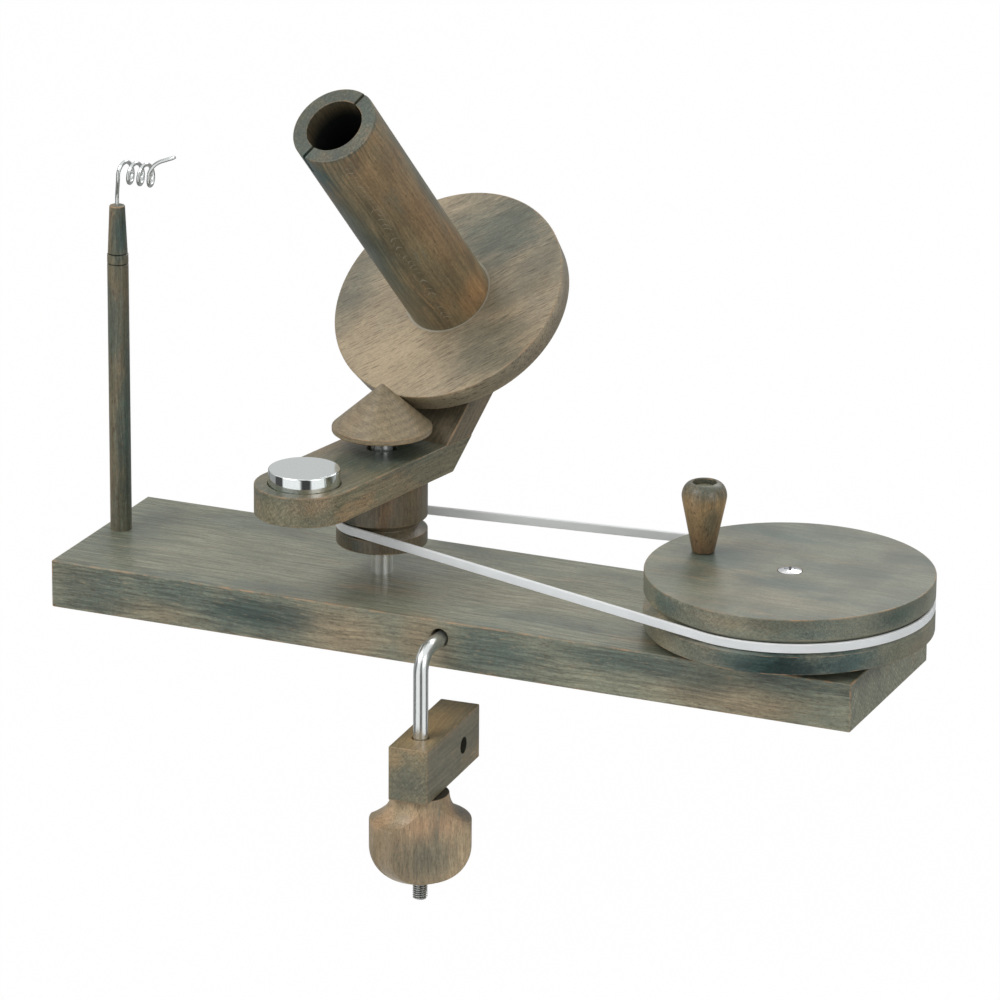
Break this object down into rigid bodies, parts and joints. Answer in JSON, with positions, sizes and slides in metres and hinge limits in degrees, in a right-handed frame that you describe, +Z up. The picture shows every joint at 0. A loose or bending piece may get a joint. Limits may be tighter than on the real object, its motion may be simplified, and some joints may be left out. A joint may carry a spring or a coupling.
{
  "type": "yarn ball winder",
  "caption": "Wooden hand-cranked yarn ball winder: belt-driven flyer with an inclined winding tube rolled by a cone, a wire yarn guide and a table clamp.",
  "frame": {"origin": "underside of the board, at the middle of its length and width", "axes": "+X along the board towards the drive wheel, +Y away from the clamp's side, +Z up"},
  "size_m": [0.483, 0.2288, 0.4251],
  "materials": {
    "stained_beech": "satin lacquer over a grey and brown stain",
    "plain_beech": "bare, smooth",
    "bright_steel": "bright drawn and turned steel",
    "polished_chrome": "polished",
    "brass": "turned",
    "belt_band": "smooth pale grey elastic band",
    "nylon": "natural"
  },
  "bodies": {
    "root": {"base_board": "stained_beech", "winding_shaft": "bright_steel", "shaft_collar": "bright_steel", "collar_set_screw": "bright_steel", "friction_cone": "stained_beech", "wheel_screw": "polished_chrome", "wheel_insert": "brass", "wheel_spacer": "nylon", "drive_belt": "belt_band"},
    "flyer": {"flyer_arm": "stained_beech", "flyer_plate": "stained_beech", "plate_dowels": "plain_beech", "small_pulley": "stained_beech", "pulley_bushes": "brass", "pulley_dowels": "plain_beech", "counterweight": "polished_chrome", "counterweight_screw": "bright_steel", "spindle_axle": "bright_steel", "axle_washers": "bright_steel", "axle_nut": "bright_steel", "spindle_spacer": "bright_steel"},
    "spindle": {"spindle_disc": "stained_beech", "winding_tube": "stained_beech", "spindle_bush": "brass"},
    "wheel": {"drive_wheel": "stained_beech", "wheel_bush": "brass", "grip_axle": "plain_beech"},
    "grip": {"crank_grip": "stained_beech"},
    "guide": {"guide_post": "stained_beech", "yarn_guide_wire": "bright_steel"},
    "clamp_arm": {"clamp_rod": "bright_steel"},
    "lift": {"jaw_washer": "bright_steel"},
    "jaw": {"jaw_block": "stained_beech"},
    "knob": {"clamp_knob": "stained_beech", "knob_insert": "brass"}
  },
  "joints": [
    {"name": "crank_turn", "type": "hinge", "parent": "root", "child": "wheel", "pos_m": [0.1745, 0, 0.0476], "axis": [0, 0, 1], "continuous": true},
    {"name": "flyer_spin", "type": "hinge", "parent": "root", "child": "flyer", "pos_m": [-0.061, 0, 0.0618], "axis": [0, 0, 1], "continuous": true},
    {"name": "spindle_spin", "type": "hinge", "parent": "flyer", "child": "spindle", "pos_m": [-0.04953, 0.06073, 0.16812], "axis": [-0.1238, -0.6549, 0.7455], "continuous": true},
    {"name": "grip_spin", "type": "hinge", "parent": "wheel", "child": "grip", "pos_m": [0.12215, 0.00829, 0.0808], "axis": [0, 0, 1], "continuous": true},
    {"name": "guide_twist", "type": "hinge", "parent": "root", "child": "guide", "pos_m": [-0.2206, 0.0042, 0.0208], "axis": [0, 0, 1], "range_deg": [-90, 90]},
    {"name": "clamp_swing", "type": "hinge", "parent": "root", "child": "clamp_arm", "pos_m": [-0.001, -0.04, 0.0161], "axis": [0, 1, 0], "range_deg": [-15, 15]},
    {"name": "jaw_lift", "type": "slide", "parent": "clamp_arm", "child": "lift", "axis": [0, 0, 1], "range_m": [-0.006, 0.025]},
    {"name": "knob_turn", "type": "hinge", "parent": "lift", "child": "knob", "pos_m": [-0.001, -0.0826, -0.09], "axis": [0, 0, 1], "range_deg": [-1728, 7200]},
    {"name": "jaw_swivel", "type": "hinge", "parent": "lift", "child": "jaw", "pos_m": [-0.001, -0.0826, -0.046], "axis": [0, 0, 1], "continuous": true}
  ],
  "couplings": [
    {"joint": "flyer_spin", "follows": "crank_turn", "ratio": 3.1484},
    {"joint": "spindle_spin", "follows": "crank_turn", "ratio": 0.83359},
    {"joint": "jaw_lift", "follows": "knob_turn", "m_per_rad": 0.00019894}
  ]
}
